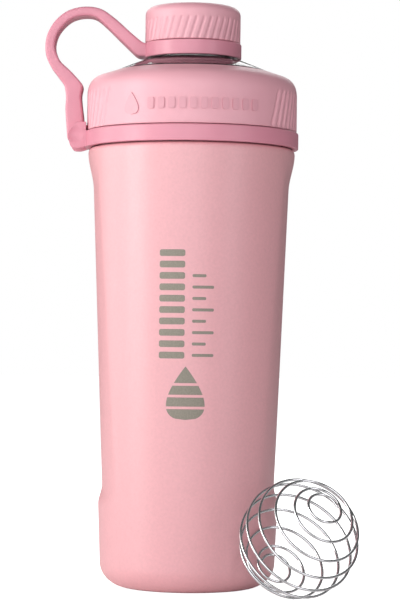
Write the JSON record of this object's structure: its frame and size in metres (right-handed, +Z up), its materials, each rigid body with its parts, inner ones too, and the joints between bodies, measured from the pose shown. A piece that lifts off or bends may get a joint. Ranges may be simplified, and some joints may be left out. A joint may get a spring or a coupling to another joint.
{
  "type": "protein shaker bottle",
  "caption": "Insulated steel shaker bottle with a screw lid, a screw cap on a spout, a carry loop and a loose wire whisk ball.",
  "frame": {"origin": "centre of the bottle's flat underside, on the surface it stands on", "axes": "+Z up along the bottle's axis, -Y the front with the printed mark, -X the side with the carry loop's hinge"},
  "size_m": [0.1399, 0.1194, 0.26],
  "materials": {
    "coat": "fine-textured satin powder coat",
    "steel": "brushed",
    "getter": "dull sintered metal",
    "clear_plastic": "clear glossy",
    "lid_plastic": "satin moulded",
    "loop_plastic": "satin moulded",
    "silicone": "matt",
    "wire": "polished stainless wire"
  },
  "bodies": {
    "bottle": {"outer_shell": "coat", "inner_liner": "steel", "base_plate": "steel", "vacuum_port_seal": "getter", "vacuum_getter": "getter"},
    "gasket": {"lid_seal": "silicone"},
    "lid": {"lid_core": "clear_plastic", "lid_shell": "lid_plastic", "loop_base_ring": "loop_plastic", "hinge_pin": "steel", "carry_loop": "loop_plastic"},
    "tether": {"tether_ring": "loop_plastic"},
    "cap": {"cap_shell": "lid_plastic", "cap_core": "clear_plastic", "cap_seal": "silicone"},
    "whisk": {"whisk_ball": "wire"}
  },
  "joints": [
    {"name": "lid_lift", "type": "slide", "parent": "bottle", "child": "gasket", "axis": [0, 0, 1], "range_m": [0, 0.0074]},
    {"name": "lid_turn", "type": "hinge", "parent": "gasket", "child": "lid", "pos_m": [0, 0, 0.2], "axis": [0, 0, 1], "range_deg": [0, 660]},
    {"name": "cap_lift", "type": "slide", "parent": "lid", "child": "tether", "axis": [0, 0, 1], "range_m": [0, 0.0063]},
    {"name": "cap_turn", "type": "hinge", "parent": "tether", "child": "cap", "pos_m": [0, 0, 0.25], "axis": [0, 0, 1], "range_deg": [0, 620]},
    {"name": "ball_slide", "type": "slide", "parent": "bottle", "child": "whisk", "axis": [0.7242, -0.6896, 0], "range_m": [0, 0.06]}
  ],
  "couplings": [
    {"joint": "lid_lift", "follows": "lid_turn", "m_per_rad": 0.00063662},
    {"joint": "cap_lift", "follows": "cap_turn", "m_per_rad": 0.00057296}
  ]
}
